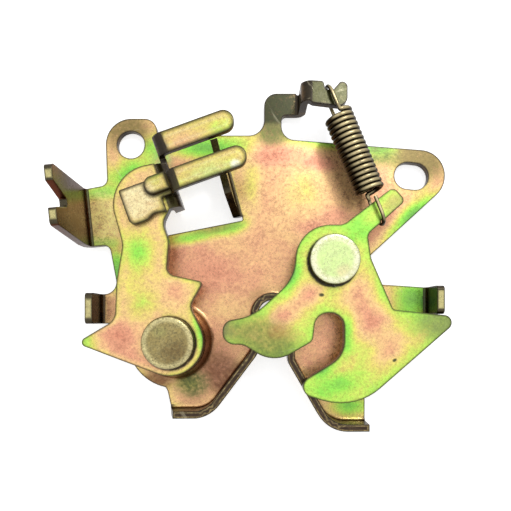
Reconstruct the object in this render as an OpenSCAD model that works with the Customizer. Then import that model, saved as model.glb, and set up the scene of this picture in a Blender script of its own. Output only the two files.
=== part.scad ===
// Rear seat lock: a pressed base plate with a flared throat, a swinging hook, a pawl lever
// with a welded release fork, two shouldered rivets and their springs.
// X runs right and Y up along the plate, Z rises from its back face towards the mechanism.
// The origin is the axis of the round fixing hole at the plate's back face.

/* [Base sheet] */
// Thickness of the base plate's sheet
plate_t = 2.2; // [1.8:0.1:2.8]
// Inner radius of the base plate's bends
bend_r = 1.0; // [0.6:0.1:1.4]
// Height of the plate's top edge over the round hole's axis
top_edge_y = 3.0; // [2:0.5:4]

/* [Fixing holes] */
// Diameter of the round fixing hole
hole_d = 8.8; // [6:0.1:9.5]
// Width of the sheet left around the round hole
ear_rim = 4.0; // [3.5:0.5:4.5]
// Distance from the round hole to the slotted one, along X
slot_x = 90.5; // [88:0.5:93]
// Drop from the round hole to the slotted one, along Y
slot_y = -10.1; // [-12:0.1:-8]
// Width of the slotted hole
slot_w = 8.6; // [7:0.1:9]
// Length of the slotted hole
slot_l = 11.0; // [9.5:0.5:12]

/* [Throat] */
// Clear width of the throat between its flanges
throat_w = 9.0; // [8.5:0.1:9.5]
// Centre of the throat's closed end, along X
throat_x = 45.6; // [45:0.1:46.5]
// Centre of the throat's closed end, along Y
throat_y = -54.8; // [-56:0.1:-54]
// Lower face of the left leg's flange
left_leg_y = -87.0; // [-89:0.5:-85]
// Lower face of the right leg's flange
right_leg_y = -91.0; // [-93:0.5:-89]
// Flare of the throat's left side from the vertical
left_flare = 37; // [34:1:40]
// Flare of the throat's right side from the vertical
right_flare = 30; // [27:1:33]
// Height of the throat's flanges over the plate's back face
throat_flange_h = 8.7; // [7:0.1:9.5]

/* [Stops and flanges] */
// Height of the two stop tabs over the plate's back face
stop_tab_h = 11.3; // [9.5:0.1:12]
// Height of the cable flange over the plate's back face
cable_flange_h = 26.2; // [24:0.2:28]
// Lean of the cable flange's line from the Y axis
cable_flange_turn = 5.8; // [3:0.2:8]
// Depth of the notch in the cable flange
cable_notch_depth = 8; // [6:0.5:10]
// Height of the lanced flap at the window, over the plate's back face
flap_h = 10.5; // [8:0.5:12]
// Bend of the lanced flap out of the plate
flap_bend = 85; // [70:1:88]

/* [Window] */
// Width of the window along its lower edge
window_w = 28.6; // [26:0.2:29]
// Height of the window along the flap
window_h = 18.2; // [17:0.2:19]
// Slope of the window's lower edge
window_turn = 11.2; // [10:0.2:13]

/* [Spring anchor] */
// Width of the arm that carries the spring anchor
arm_w = 6.9; // [6:0.1:7.5]
// Underside of the arm, along Y
arm_y = 9.6; // [9:0.1:11]
// Length of the raised tab beyond the step
anchor_l = 11.6; // [10.5:0.1:12.5]
// Height of the raised tab's top
anchor_h = 12.6; // [12:0.1:13]

/* [Pawl boss] */
// Radius of the drawn boss at its foot
boss_foot_r = 12.8; // [12.2:0.1:13.5]
// Radius of the boss at its top
boss_top_r = 10.4; // [10:0.1:11]
// Wall left at the top of the boss after drawing
boss_wall = 1.8; // [1.5:0.1:2]

/* [Hook] */
// Hook pivot along X
hook_x = 63.7; // [63:0.1:64.2]
// Hook pivot along Y
hook_y = -38.5; // [-39:0.1:-38]
// Thickness of the hook
hook_t = 3.0; // [2.5:0.1:3.5]
// Radius of the hook's hub
hook_hub_r = 10.6; // [10:0.1:11.2]
// Width of the hook's slot, a running fit on an 8 mm striker
hook_slot_w = 8.5; // [8.2:0.1:9]
// Depth of the slot's closed end under the pivot
hook_slot_y = 15.9; // [15:0.1:17]
// Reach of the left tongue from the pivot
tongue_reach = 33.4; // [33:0.1:33.6]
// Opening travel of the hook from rest to its far stop
hook_travel = 44; // [40:1:45]

/* [Pawl] */
// Pawl pivot along X
pawl_x = 14.2; // [13.8:0.1:14.4]
// Pawl pivot along Y
pawl_y = -63.3; // [-63.8:0.1:-62.8]
// Thickness of the pawl lever
pawl_t = 3.0; // [2.5:0.1:3.2]
// Radius of the pawl's hub
pawl_hub_r = 10.1; // [9.6:0.1:10.3]
// Height of the pawl's head over its pivot
pawl_head_y = 53.8; // [52:0.2:55]
// Reach of the tooth to the right of the pivot
tooth_reach = 9.4; // [9:0.1:9.6]
// Travel of the pawl into engagement
pawl_in = 6; // [4:1:6]
// Travel of the pawl when the cable pulls it
pawl_out = 12; // [8:1:12]

/* [Release fork] */
// Thickness of the fork's sheet
fork_t = 1.8; // [1.5:0.1:2]
// Width of each finger
finger_w = 6.2; // [5.5:0.1:6.5]
// Gap between the fingers
finger_gap = 4.6; // [4.4:0.1:5.4]
// Reach of the fingers from the fork's wall
finger_l = 24.2; // [22:0.2:25]
// Height of the fingers' tops over the pawl
finger_rise = 6.6; // [6:0.1:8]
// Slope of the fingers
fork_turn = 19.8; // [18:0.2:21]

/* [Rivets] */
// Diameter of the hook rivet's head
hook_head_d = 15.0; // [14:0.2:16]
// Diameter of the pawl rivet's head
pawl_head_d = 15.8; // [15.4:0.2:16.6]
// Height of both rivet heads
head_h = 2.9; // [2:0.1:3.5]
// Diameter of both rivets' shoulders
shoulder_d = 10; // [9:0.2:10.4]
// Diameter of the necks that are peened
neck_d = 8; // [7:0.2:8.4]
// Outer diameter of the collar under the hook
collar_d = 16; // [14:0.2:16.6]

/* [Springs] */
// Wire of the tension spring
hook_wire = 1.5; // [1.2:0.1:1.6]
// Outer diameter of the tension spring
hook_coil_d = 9.0; // [8:0.1:9.4]
// Number of close turns of the tension spring
hook_turns = 16; // [12:1:16]
// Wire of the pawl's torsion spring
pawl_wire = 1.0; // [0.8:0.1:1]
// Mean diameter of the torsion spring
pawl_coil_d = 14.0; // [13.8:0.1:14.2]
// Number of turns of the torsion spring
pawl_turns = 3; // [2:1:3]

/* [Clearances] */
// Running gap above and below the moving plates
play = 0.1; // [0.05:0.05:0.2]
// Radial clearance of the moving plates on their shoulders
running = 0.05; // [0.02:0.01:0.1]
// Gap left between peened and seated faces
seat = 0.02; // [0.01:0.01:0.03]
// Room between the throat's flanges and the hook
sweep = 0.6; // [0.4:0.1:1]

/* [Hidden] */
$fn = 64;
arc_step = 7;
lap = 0.6;
past = 1;
hook_pivot = [hook_x, hook_y];
pawl_pivot = [pawl_x, pawl_y];
bend_run = plate_t + bend_r;
level = throat_flange_h + sweep;
hook_top = level + hook_t;
pawl_top = level + pawl_t;
boss_top = level - play;
ear_r = hole_d / 2 + ear_rim;
slot_turn = atan2(slot_y, slot_x);
coil_r = (hook_coil_d - hook_wire) / 2;
spring_z = level + hook_t / 2;
loop_r = coil_r - 0.35;

// Plane vectors
function unit(v) = v / norm(v);
function left_of(d) = [-d[1], d[0]];
function spin(v, a) = [v[0] * cos(a) - v[1] * sin(a), v[0] * sin(a) + v[1] * cos(a)];
function spot(c) = [c[0], c[1]];
function turn_of(a, b) = atan2(a[0] * b[1] - a[1] * b[0], a * b);
function heading(a, b) = unit(spot(b) - spot(a));

// One corner [x, y, radius] of an outline as the points of its fillet
function fillet(before, corner, after) =
    let (
        d0 = heading(before, corner),
        a = turn_of(d0, heading(corner, after)),
        side = sign(a),
        centre = spot(corner) - d0 * fillet_reach(corner[2], a) + left_of(d0) * corner[2] * side,
        steps = ceil(abs(a) / arc_step)
    )
    corner[2] <= 0 || abs(a) < 1
        ? [spot(corner)]
        : [for (k = [0:steps]) centre + spin(-left_of(d0) * corner[2] * side, a * k / steps)];
function fillet_reach(r, a) = r * tan(abs(a) / 2);

// Corner radii kept within the edges beside them
function reach_at(c, i) =
    let (n = len(c), before = c[(i + n - 1) % n], after = c[(i + 1) % n])
    fillet_reach(c[i][2], abs(turn_of(heading(before, c[i]), heading(c[i], after))));
function room_after(c, reach, i) =
    let (j = (i + 1) % len(c))
    norm(spot(c[j]) - spot(c[i])) / max(reach[i] + reach[j], 0.001);
function eased(c) =
    let (n = len(c), reach = [for (i = [0:n - 1]) reach_at(c, i)])
    [
        for (i = [0:n - 1])
            let (room = min(room_after(c, reach, i), room_after(c, reach, (i + n - 1) % n)))
            [c[i][0], c[i][1], c[i][2] * min(1, room)]
    ];

// A closed outline from its corners
function rounded(corners) =
    let (
        c = eased(corners),
        n = len(c),
        points = [for (i = [0:n - 1]) each fillet(c[(i + n - 1) % n], c[i], c[(i + 1) % n])],
        last = len(points) - 1
    )
    [for (i = [0:last]) if (norm(points[i] - points[i == 0 ? last : i - 1]) > 0.004) points[i]];

// An open line of corners moved to its left, with its radii kept concentric
function shifted(corners, gap) =
    let (last = len(corners) - 1)
    [
        for (i = [0:last])
            let (
                d0 = i == 0 ? heading(corners[0], corners[1]) : heading(corners[i - 1], corners[i]),
                d1 = i == last ? d0 : heading(corners[i], corners[i + 1]),
                n0 = left_of(d0),
                n1 = left_of(d1),
                move = (n0 + n1) / (1 + n0 * n1) * gap,
                r = i == 0 || i == last ? 0 : corners[i][2] - gap * sign(turn_of(d0, d1))
            )
            [corners[i][0] + move[0], corners[i][1] + move[1], r]
    ];

// Section of a bent-up edge: distance inwards from the wall's outer face, and height
function bend_section(t, r, rise, angle = 90, step = arc_step) =
    let (
        run = t + r,
        up = [sin(angle), cos(angle)],
        outer = [for (a = [0:step:angle]) [run - run * sin(a), run - run * cos(a)]],
        inner = [for (a = [0:step:angle]) [run - r * sin(a), run - r * cos(a)]],
        foot_out = [run - run * up[0], run - run * up[1]],
        foot_in = [run - r * up[0], run - r * up[1]],
        climb = (rise - foot_out[1]) / up[0],
        way = [-up[1], up[0]] * climb
    )
    concat(
        [[run + lap, 0]], outer, [foot_out, foot_out + way, foot_in + way, foot_in],
        [for (i = [len(inner) - 1:-1:0]) inner[i]], [[run + lap, t]]
    );

// A bent edge along a straight stretch, with the sheet on the left of the way from a to b
module straight_bend(a, b, section) {
    way = heading(a, b);
    translate([a[0], a[1], 0])
        rotate(atan2(way[1], way[0]))
            rotate([90, 0, 90])
                linear_extrude(norm(spot(b) - spot(a)))
                    polygon(section);
}

// Stations along a line of corners: where the sheet's edge is, and which way the sheet lies
function stations(line) =
    let (last = len(line) - 1)
    [
        for (i = [0:last])
            let (
                d0 = heading(line[max(i - 1, 0)], line[max(i, 1)]),
                d1 = heading(line[min(i, last - 1)], line[min(i + 1, last)]),
                a = turn_of(d0, d1),
                r = line[i][2] * sign(a),
                centre = spot(line[i]) - d0 * fillet_reach(line[i][2], abs(a)) + left_of(d0) * r,
                steps = max(ceil(abs(a) / arc_step), 1)
            )
            each i == 0 || i == last
                ? [[spot(line[i]), left_of(d0)]]
                : [
                    for (k = [0:steps])
                        let (n = spin(left_of(d0), a * k / steps))
                        if (k > 0 || norm(spot(line[i - 1]) - spot(line[i])) > 2 * line[i][2] + 0.01)
                            [centre - n * r, n]
                ]
    ];

// One closed sweep of a section along stations
module swept(places, section) {
    n = len(section);
    last = len(places) - 1;
    polyhedron(
        points = [
            for (s = places)
                for (p = section)
                    [s[0][0] + s[1][0] * p[0], s[0][1] + s[1][1] * p[0], p[1]]
        ],
        faces = concat(
            [
                for (i = [0:last - 1])
                    for (k = [0:n - 1])
                        [i * n + k, i * n + (k + 1) % n, (i + 1) * n + (k + 1) % n, (i + 1) * n + k]
            ],
            [for (k = [0:n / 2 - 2]) [n - 1 - k, n - 2 - k, k + 1, k]],
            [for (k = [0:n / 2 - 2]) [for (j = [k, k + 1, n - 2 - k, n - 1 - k]) last * n + j]]
        )
    );
}

// Throat line: the flanges' outer faces, from the left leg's end to the right leg's end
left_leg_x = 12.9;
right_leg_x = 75.4;
leg_r = 10.5;
mouth_r = 5;
mouth_y = throat_y - 12;
mouth_low_y = throat_y - 14.6;
throat_left = throat_x - throat_w / 2;
throat_right = throat_x + throat_w / 2;
throat_line = [
    [left_leg_x, left_leg_y, 0],
    [throat_left - (mouth_y - left_leg_y) * tan(left_flare), left_leg_y, leg_r],
    [throat_left, mouth_y, mouth_r],
    [throat_left, throat_y + throat_w / 2, throat_w / 2],
    [throat_right, throat_y + throat_w / 2, throat_w / 2],
    [throat_right, mouth_low_y, mouth_r],
    [throat_right + (mouth_low_y - right_leg_y) * tan(right_flare), right_leg_y, leg_r],
    [right_leg_x, right_leg_y, 0]
];

throat_section = bend_section(plate_t, bend_r, throat_flange_h, step = 15);

// Cable flange and stop tabs, each with its outer face from a to b and the sheet on the left
cable_l = 18.7;
cable_top = [-16.95, -14.5];
cable_way = spin([0, -1], cable_flange_turn);
cable_end = cable_top + cable_way * cable_l;
left_tab = [[-11.5, -48.2], [-11.5, -57.7]];
right_tab = [[97.5, -54.7], [97.5, -46.0]];
function inwards(line, gap) = [for (p = line) p + left_of(heading(line[0], line[1])) * gap];
cable_root = inwards([cable_top, cable_end], bend_run - lap / 2);
left_root = inwards(left_tab, bend_run - lap / 2);
right_root = inwards(right_tab, bend_run - lap / 2);

// Spring anchor arm
arm_left = 43.0;
arm_right = 48.6;
step_x = 53.0;
arm_top = arm_y + arm_w;

// Right ear round the slotted hole
ear_right = slot_x + slot_l / 2 + 5.3;
ear_top = slot_y + slot_w / 2 + 3.5;
ear_low = -13.7;
ear_corner_r = 8.2;
flank_x = 73.5;
edge_slope = tan(4.5);
flank_slope = tan(42.5);

plate_corners = concat(
    shifted(throat_line, bend_run - lap / 2),
    [
        [right_leg_x, -55.4, 3],
        [right_root[0][0], right_root[0][1], 0],
        [right_root[1][0], right_root[1][1], 0],
        [flank_x, -44.6, 2.6],
        [flank_x, ear_low - (ear_right - flank_x) * flank_slope, 2.6],
        [ear_right, ear_low, ear_corner_r],
        [ear_right, ear_top, ear_corner_r],
        [arm_right, ear_top + (ear_right - arm_right) * edge_slope, 4.5],
        [arm_right, arm_y, 1.6],
        [step_x + lap / 2, arm_y, 0],
        [step_x + lap / 2, arm_top, 0],
        [arm_left, arm_top, 4],
        [arm_left, top_edge_y, 5],
        [ear_r, top_edge_y, 3],
        [ear_r, ear_r, ear_r - 0.05],
        [-ear_r, ear_r, ear_r - 0.05],
        [-7.6, -13.0, 2.5],
        [cable_root[0][0], cable_root[0][1], 0],
        [cable_root[1][0], cable_root[1][1], 0],
        [-6.9, -32.3, 2.4],
        [-3.9, left_tab[0][1], 4],
        [left_root[0][0], left_root[0][1], 0],
        [left_root[1][0], left_root[1][1], 0],
        [-6.2, left_tab[1][1], 1],
        [4.0, -74.0, 4],
        [11.6, -78.2, 4]
    ]
);

// Window, from its lower right corner
window_corner = [36.2, -24.4];
window_along = spin([-1, 0], window_turn);
flap_way = spin([0, 1], 15);
window_low = window_corner + window_along * window_w;
window_high = window_corner + flap_way * window_h;
window_corners = [
    [window_corner[0], window_corner[1], 0.6],
    [window_high[0], window_high[1], 1.5],
    [window_low[0], window_high[1] - (window_high[0] - window_low[0]) * tan(window_turn + 3), 2],
    [window_low[0], window_low[1], 1.5]
];

module window_cut() {
    translate([0, 0, -past])
        linear_extrude(plate_t + 2 * past)
            polygon(rounded(window_corners));
}

module fixing_holes() {
    translate([0, 0, -past])
        cylinder(d = hole_d, h = plate_t + 2 * past);
    translate([slot_x, slot_y, -past])
        rotate(slot_turn)
            for (side = [-1, 1]) {
                translate([side * (slot_l - slot_w) / 2, 0, 0])
                    cylinder(d = slot_w, h = plate_t + 2 * past);
                translate([-(slot_l - slot_w) / 2, -slot_w / 2, 0])
                    cube([slot_l - slot_w, slot_w, plate_t + 2 * past]);
            }
}

// Throat flange, with the left leg's end cut to a slant
module throat_flange() {
    slant = 2.0;
    difference() {
        swept(stations(throat_line), throat_section);
        translate([0, left_leg_y + bend_run, 0])
            rotate([90, 0, 0])
                linear_extrude(bend_run + past)
                    polygon([
                        [left_leg_x - past, plate_t],
                        [left_leg_x, plate_t],
                        [left_leg_x + slant, throat_flange_h + past],
                        [left_leg_x - past, throat_flange_h + past]
                    ]);
    }
}

// Cable flange: two prongs with the notch for the cable's sleeve between them
module cable_flange() {
    top = cable_flange_h;
    low = top - cable_notch_depth;
    prongs = [
        [0, -past, 0],
        [0, plate_t + 3, 2],
        [-0.3, top, 1.3],
        [4.4, top, 0.6],
        [7.5, low, 0.9],
        [9.8, low, 0.9],
        [11.8, top, 0.6],
        [16.5, top, 1.3],
        [cable_l, plate_t + 5, 2],
        [cable_l, -past, 0]
    ];
    intersection() {
        straight_bend(cable_top - cable_way, cable_end, bend_section(plate_t, bend_r, top));
        translate([cable_top[0], cable_top[1], 0])
            rotate(atan2(cable_way[1], cable_way[0]))
                translate([0, bend_run + past, 0])
                    rotate([90, 0, 0])
                        linear_extrude(bend_run + 2 * past)
                            polygon(rounded(prongs));
    }
}

// Stop tab with its two free corners rounded
module stop_tab(line) {
    l = norm(line[1] - line[0]);
    way = heading(line[0], line[1]);
    face = [
        [0, -past, 0], [0, stop_tab_h, 1.4], [l, stop_tab_h, 1.4], [l, -past, 0]
    ];
    intersection() {
        straight_bend(line[0], line[1], bend_section(plate_t, bend_r, stop_tab_h));
        translate([line[0][0], line[0][1], 0])
            rotate(atan2(way[1], way[0]))
                translate([0, bend_run + past, 0])
                    rotate([90, 0, 0])
                        linear_extrude(bend_run + 2 * past)
                            polygon(rounded(face));
    }
}

// Flap lanced out of the window, standing on the window's right edge and leaning over it
module window_flap() {
    root = window_corner + flap_way * 1.6 - left_of(flap_way) * 0.2;
    l = window_h + 4.6;
    slope = 6.5;
    side = [
        [0, -past, 0],
        [0, plate_t, 0],
        [slope, flap_h + past, 0],
        [l, flap_h + past, 0],
        [l, plate_t + 3.2, 1.2],
        [window_h - 2.4, plate_t + 1.4, 1],
        [window_h - 2.4, -past, 0]
    ];
    start = root + left_of(flap_way) * bend_run;
    intersection() {
        translate([start[0], start[1], 0])
            rotate(atan2(flap_way[1], flap_way[0]) + 180)
                translate([-l, 0, 0])
                    rotate([90, 0, 90])
                        linear_extrude(l)
                            polygon(bend_section(plate_t, bend_r, flap_h, flap_bend));
        translate([root[0], root[1], 0])
            rotate(atan2(flap_way[1], flap_way[0]))
                translate([0, 3 * bend_run, 0])
                    rotate([90, 0, 0])
                        linear_extrude(4 * bend_run)
                            polygon(rounded(side));
    }
}

// Step up from the arm to the raised anchor tab, and the tab with its notch for the spring
anchor_top = anchor_h;
anchor_end = step_x + bend_run + anchor_l;
anchor_notch = [step_x + bend_run + 6.0, arm_top - 3.6];
module spring_anchor() {
    wall_x = step_x + bend_r;
    section = [
        [step_x - lap, 0, 0],
        [wall_x + plate_t, 0, bend_run],
        [wall_x + plate_t, anchor_top - plate_t, bend_r],
        [anchor_end, anchor_top - plate_t, 0],
        [anchor_end, anchor_top, 0],
        [wall_x, anchor_top, bend_run],
        [wall_x, plate_t, bend_r],
        [step_x - lap, plate_t, 0]
    ];
    tab = [
        [step_x - 2 * lap, arm_y, 0],
        [wall_x + plate_t, arm_y, 1],
        [wall_x + plate_t + 1, arm_y - 0.9, 2],
        [anchor_end, arm_y - 2.2, 2.6],
        [anchor_end, arm_top - 1.6, 3],
        [anchor_notch[0] + 3.4, arm_top - 1.6, 2.4],
        [anchor_notch[0] + 1.4, anchor_notch[1] - 0.35, 0.7],
        [anchor_notch[0] - 1.1, anchor_notch[1] - 0.35, 0.7],
        [anchor_notch[0] - 1.6, arm_top - 1.4, 1],
        [wall_x, arm_top - 1.0, 2],
        [wall_x - bend_r, arm_top, 1],
        [step_x - 2 * lap, arm_top, 0]
    ];
    intersection() {
        translate([0, arm_top + past, 0])
            rotate([90, 0, 0])
                linear_extrude(arm_w + 5 * past)
                    polygon(rounded(section));
        translate([0, 0, -past])
            linear_extrude(anchor_top + 2 * past)
                polygon(rounded(tab));
    }
}

// Drawn boss that lifts the pawl, hollow from behind, with its neck hole and two spring slots
boss_skirt = 2.4;
module pawl_boss() {
    wall = [
        [(neck_d / 2 + seat), boss_top, 0],
        [boss_top_r, boss_top, 1.6],
        [boss_foot_r - 1.0, plate_t, 1.8],
        [boss_foot_r + boss_skirt, plate_t, 0],
        [boss_foot_r + boss_skirt, 0, 0],
        [boss_foot_r - 2.4, 0, 1.8],
        [boss_top_r - boss_wall, boss_top - boss_wall, 1.0],
        [(neck_d / 2 + seat), boss_top - boss_wall, 0]
    ];
    rotate_extrude()
        polygon(rounded(wall));
}

// Slot in the boss's top for the spring's moving leg, and the slot at its foot for the fixed one
leg_at = 90;
leg_room = 0.35;
foot_leg_at = 160;
foot_leg_z = 0.3 + pawl_wire / 2;
foot_leg_end = boss_foot_r + 1.6;
module boss_slots() {
    half = atan2(pawl_wire / 2 + leg_room, pawl_coil_d / 2);
    translate([0, 0, boss_top - boss_wall - past])
        rotate(leg_at - pawl_in - half)
            rotate_extrude(angle = pawl_in + pawl_out + 2 * half)
                translate([(pawl_coil_d - pawl_wire) / 2 - leg_room, 0])
                    square([pawl_wire + 2 * leg_room, boss_wall + 2 * past]);
    rotate(foot_leg_at)
        translate([pawl_coil_d / 2, -pawl_wire / 2 - leg_room, -past])
            cube([foot_leg_end - pawl_coil_d / 2 + leg_room, pawl_wire + 2 * leg_room, plate_t + past]);
}

module base_plate() {
    color("#cfae72")
        difference() {
            union() {
                difference() {
                    linear_extrude(plate_t)
                        polygon(rounded(plate_corners));
                    translate([pawl_x, pawl_y, -past])
                        cylinder(r = boss_foot_r + boss_skirt / 2, h = plate_t + 2 * past);
                    window_cut();
                }
                throat_flange();
                cable_flange();
                stop_tab(left_tab);
                stop_tab(right_tab);
                window_flap();
                spring_anchor();
                translate([pawl_x, pawl_y, 0])
                    pawl_boss();
            }
            fixing_holes();
            translate([pawl_x, pawl_y, 0])
                boss_slots();
            translate([hook_x, hook_y, -past])
                cylinder(d = neck_d + 2 * seat, h = plate_t + 2 * past);
            translate([hook_x, hook_y, -seat])
                cylinder(
                    d1 = neck_d + 2 * plate_t + 2 * seat, d2 = neck_d + 2 * seat, h = plate_t / 2
                );
        }
}

// Hook: hub, spring arm, striker slot and two tongues, about its own pivot
spring_arm_tip = [21.6, 17.8];
arm_notch = [14.9, 12.3];
slot_right = 3.2;
hook_corners = [
    [-hook_hub_r - 0.3, hook_hub_r, hook_hub_r - 0.2],
    [3.0, hook_hub_r, 4],
    [18.0, 22.0, 2],
    [spring_arm_tip[0], spring_arm_tip[1], 1.6],
    [10.2, 7.7, 2.5],
    [11.2, 0.5, 8],
    [17.9, -14.9, 1.2],
    [38.6, -17.1, 2.3],
    [6.4, -45.2, 18],
    [-13.6, -39.1, 3.1],
    [slot_right, -28.8, 8],
    [slot_right, -hook_slot_y, hook_slot_w / 2 - 0.05],
    [slot_right - hook_slot_w, -hook_slot_y, hook_slot_w / 2 - 0.05],
    [slot_right - hook_slot_w - 1.0, -24.4, 2.2],
    [-17.9, -31.2, 10],
    [-27.2, -25.5, 4],
    [-tongue_reach, -25.3, 3.5],
    [-tongue_reach, -18.5, 3.2],
    [-24.4, -16.9, 16],
    [-11.8, -5.4, 13]
];
module latch_hook() {
    color("#b9c77f")
        translate([hook_x, hook_y, level])
            difference() {
                linear_extrude(hook_t)
                    polygon(rounded(hook_corners));
                translate([0, 0, -past])
                    cylinder(d = shoulder_d + 2 * running, h = hook_t + 2 * past);
                translate([arm_notch[0] + spring_way[0] * 1.1, arm_notch[1] + spring_way[1] * 1.1, -past])
                    cylinder(r = hook_wire / 2 + 0.5, h = hook_t + 2 * past);
            }
}

// Pawl lever: head with its bent-down edge, waist, tooth, hub and stop ear, about its own pivot
pawl_bend_r = 1.0;
pawl_bend_run = pawl_t + pawl_bend_r;
head_face = [2.9, 43.8];
head_way = spin([0, 1], fork_turn);
head_low = head_face - head_way * 2.4;
head_high = head_face + head_way * 11.6;
head_in = -spin([1, 0], fork_turn) * (pawl_bend_run - lap / 2);
hub_miter = pawl_hub_r / cos(35);
pawl_corners = [
    [-28.0, -0.2, 1.4],
    [-16.2, 6.8, 4.5],
    [-15.8, 18.0, 10],
    [-13.9, 29.5, 8],
    [-16.8, 40.0, 8],
    [-16.8, pawl_head_y - 2.4, 12],
    [head_high[0] + head_in[0], pawl_head_y, 0],
    [head_low[0] + head_in[0], head_low[1] + head_in[1], 0],
    [-1.9, 36.0, 4],
    [0.0, 30.5, 6],
    [-0.8, 20.6, 2.6],
    [tooth_reach + 0.9, 18.2, 0.9],
    [6.2, 11.0, 3.5],
    [hub_miter * cos(-6.4), hub_miter * sin(-6.4), pawl_hub_r],
    [hub_miter * cos(-75.7), hub_miter * sin(-75.7), pawl_hub_r]
];
head_flange_drop = level + pawl_t - plate_t - 0.8;
module pawl_lever() {
    color("#d6c98c")
        translate([pawl_x, pawl_y, level])
            difference() {
                union() {
                    linear_extrude(pawl_t)
                        polygon(rounded(pawl_corners));
                    translate([0, 0, pawl_t])
                        mirror([0, 0, 1])
                            head_flange();
                }
                translate([0, 0, -past])
                    cylinder(d = shoulder_d + 2 * running, h = pawl_t + 2 * past);
                rotate(leg_at)
                    translate([pawl_coil_d / 2, 0, -past])
                        cylinder(d = pawl_wire + 0.3, h = pawl_t + 2 * past, $fn = 24);
            }
}

// Bent-down edge of the head with rounded free corners
module head_flange() {
    l = norm(head_high - head_low);
    face = [
        [0, -past, 0], [0, head_flange_drop, 2.4], [l, head_flange_drop, 1.5], [l, -past, 0]
    ];
    intersection() {
        straight_bend(head_low, head_high, bend_section(pawl_t, pawl_bend_r, head_flange_drop));
        translate([head_low[0], head_low[1], 0])
            rotate(90 + fork_turn)
                translate([0, pawl_bend_run + past, 0])
                    rotate([90, 0, 0])
                        linear_extrude(pawl_bend_run + 2 * past)
                            polygon(rounded(face));
    }
}

// Release fork: foot on the pawl, upright wall, two fingers with the cable gap between them
fork_root = [-1.3, 51.5];
fork_bend_r = 1.2;
fork_w = 2 * finger_w + finger_gap;
module release_fork() {
    wall_run = fork_t + fork_bend_r;
    profile = [
        [0, 0, 0],
        [0, finger_rise, wall_run],
        [finger_l, finger_rise, 0],
        [finger_l, finger_rise - fork_t, 0],
        [fork_t, finger_rise - fork_t, fork_bend_r],
        [fork_t, 0, 0]
    ];
    foot_l = 14.8;
    foot_top = -1.5;
    foot_right = -3.3;
    foot_neck = -7.6;
    foot = [
        [-foot_l, foot_top, 0.6],
        [-foot_l, -12.7, 2],
        [-9.4, -12.6, 3],
        [-7.2, -11.3, 3],
        [foot_right, -12.0, 0.5],
        [foot_right, foot_neck, 0.6],
        [fork_t / 2, foot_neck, 0],
        [fork_t / 2, foot_top, 0]
    ];
    tongue_l = 7.0;
    tongue_low = -6.4;
    tongue_top = -1.2;
    tongue = [
        [-tongue_l, tongue_low, 2.5],
        [fork_t / 2, tongue_low, 0],
        [fork_t / 2, tongue_top, 0],
        [-tongue_l, tongue_top, 2.5]
    ];
    color("#dcd79a")
        translate([pawl_x + fork_root[0], pawl_y + fork_root[1], pawl_top + seat])
            rotate(fork_turn) {
                difference() {
                    translate([0, fork_w / 2, 0])
                        rotate([90, 0, 0])
                            linear_extrude(fork_w)
                                polygon(rounded(profile));
                    translate([-past, -finger_gap / 2, finger_rise - fork_t - 1.2])
                        cube([finger_l + 2 * past, finger_gap, finger_rise]);
                    for (side = [-1, 1])
                        finger_tip_cut(side * (finger_gap + finger_w) / 2);
                }
                linear_extrude(fork_t)
                    polygon(rounded(foot));
                translate([0, 0, fork_t])
                    linear_extrude(fork_t - 0.2)
                        polygon(rounded(tongue));
            }
}

// What is cut away to leave a finger's round end
module finger_tip_cut(y) {
    r = finger_w / 2 - 0.01;
    translate([finger_l - r, y, -past])
        difference() {
            translate([0, -finger_w / 2 - 0.1, 0])
                cube([r + past, finger_w + 0.2, finger_rise + 2 * past]);
            cylinder(r = r, h = finger_rise + 2 * past);
        }
}

// Rivet heads, shoulders and peened necks as turned sections
module hook_pivot_rivet() {
    flush = plate_t / 2;
    section = [
        [0, 0, 0],
        [neck_d / 2 + flush - seat, 0, 0],
        [neck_d / 2, flush - seat, 0],
        [neck_d / 2, plate_t + seat, 0],
        [shoulder_d / 2, plate_t + seat, 0],
        [shoulder_d / 2, hook_top + play, 0],
        [hook_head_d / 2, hook_top + play, 0.3],
        [hook_head_d / 2, hook_top + play + head_h, 0.7],
        [0, hook_top + play + head_h, 0]
    ];
    color("#e3e0a8")
        translate([hook_x, hook_y, 0])
            rotate_extrude()
                polygon(rounded(section));
}

peen_h = 1.6;
peen_d = pawl_coil_d - pawl_wire - 1.0;
module pawl_pivot_rivet() {
    under = boss_top - boss_wall - seat;
    section = [
        [0, under - peen_h, 0],
        [peen_d / 2, under - peen_h, 0.6],
        [peen_d / 2, under, 0.2],
        [neck_d / 2, under, 0],
        [neck_d / 2, boss_top + seat, 0],
        [shoulder_d / 2, boss_top + seat, 0],
        [shoulder_d / 2, pawl_top + play, 0],
        [pawl_head_d / 2, pawl_top + play, 0.3],
        [pawl_head_d / 2, pawl_top + play + head_h, 0.9],
        [0, pawl_top + play + head_h, 0]
    ];
    color("#a89a5e")
        translate([pawl_x, pawl_y, 0])
            rotate_extrude()
                polygon(rounded(section));
}

// Collar that holds the hook at its level
module hook_spacer() {
    color("#b5a663")
        translate([hook_x, hook_y, plate_t + seat])
            difference() {
                cylinder(d = collar_d, h = level - play - plate_t - seat);
                translate([0, 0, -past])
                    cylinder(d = shoulder_d + 2 * seat, h = level + past);
            }
}

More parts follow.
